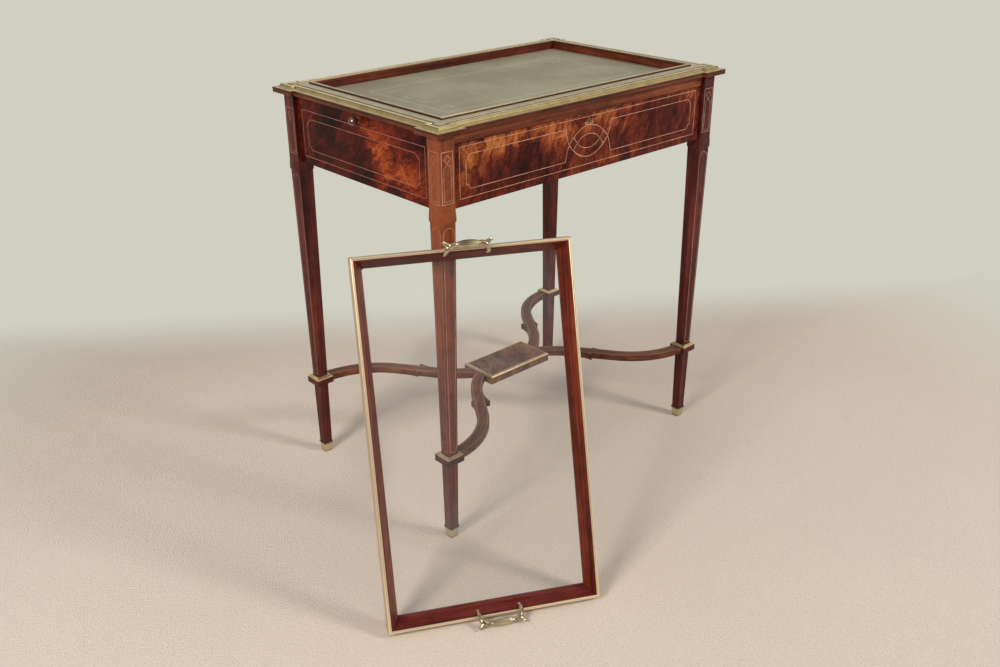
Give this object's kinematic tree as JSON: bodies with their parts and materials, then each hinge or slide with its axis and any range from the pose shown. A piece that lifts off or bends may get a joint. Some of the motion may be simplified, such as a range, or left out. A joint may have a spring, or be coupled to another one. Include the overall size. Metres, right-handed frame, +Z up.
{
  "type": "dressing table",
  "caption": "Dressing table with a brass-rimmed sunken top, frieze drawer, pull-out end slide, tapering legs on a curved stretcher, and its loose glazed tray leaning on a leg.",
  "frame": {"origin": "on the floor, under the middle of the table's four feet; the leaning tray isn't counted", "axes": "+X along the long side, away from the end with the slide; -Y towards the side with the drawer; +Z up from the floor"},
  "size_m": [0.907, 0.7239, 0.744],
  "materials": {
    "mahogany": "polished",
    "flame_mahogany": "polished",
    "oak": "plain",
    "brass": "gilt, polished",
    "steel": "bare",
    "leather": "tooled",
    "glass": "clear"
  },
  "bodies": {
    "table": {"leg_front_left": "mahogany", "leg_back_left": "mahogany", "leg_front_right": "mahogany", "leg_back_right": "mahogany", "sabot_front_left": "brass", "sabot_back_left": "brass", "sabot_front_right": "brass", "sabot_back_right": "brass", "collar_block_front_left": "mahogany", "collar_block_back_left": "mahogany", "collar_block_front_right": "mahogany", "collar_block_back_right": "mahogany", "collar_ring_front_left": "brass", "collar_ring_back_left": "brass", "collar_ring_front_right": "brass", "collar_ring_back_right": "brass", "stretcher_arm_front_left": "mahogany", "stretcher_arm_back_left": "mahogany", "stretcher_arm_front_right": "mahogany", "stretcher_arm_back_right": "mahogany", "stretcher_plate": "mahogany", "plate_moulding": "brass", "apron_left": "flame_mahogany", "apron_right": "flame_mahogany", "apron_back": "flame_mahogany", "front_top_rail": "mahogany", "top_rail_front": "mahogany", "top_rail_back": "mahogany", "top_rail_left": "mahogany", "top_rail_right": "mahogany", "inner_bead": "brass", "flat_band": "brass", "edge_moulding": "brass", "well_panel": "oak", "leather_lining": "leather", "drawer_runners": "oak", "drawer_kickers": "oak", "slide_bearers": "oak", "cross_rail": "oak", "drawer_stops": "oak"},
    "drawer": {"drawer_front": "flame_mahogany", "drawer_side_left": "oak", "drawer_side_right": "oak", "drawer_back": "oak", "drawer_bottom": "oak", "lock_case": "brass", "escutcheon": "brass"},
    "lock_bolt": {"lock_bolt": "steel"},
    "slide": {"slide_board": "oak", "slide_front": "flame_mahogany", "slide_knob": "brass"},
    "tray": {"tray_rail_bottom": "mahogany", "tray_rail_right": "mahogany", "tray_rail_top": "mahogany", "tray_rail_left": "mahogany", "tray_edging": "brass", "tray_glass": "glass", "glazing_slips": "mahogany", "tray_handle_bottom": "brass", "tray_handle_top": "brass"}
  },
  "joints": [
    {"name": "drawer_slide", "type": "slide", "parent": "table", "child": "drawer", "axis": [0, -1, 0], "range_m": [0, 0.28]},
    {"name": "lock_bolt_slide", "type": "slide", "parent": "drawer", "child": "lock_bolt", "axis": [0, 0, 1], "range_m": [0, 0.006]},
    {"name": "end_slide", "type": "slide", "parent": "table", "child": "slide", "axis": [-1, 0, 0], "range_m": [0, 0.22]},
    {"name": "tray_lift", "type": "slide", "parent": "table", "child": "tray", "axis": [-0.233, -0.4424, 0.866], "range_m": [0, 0.5]}
  ]
}
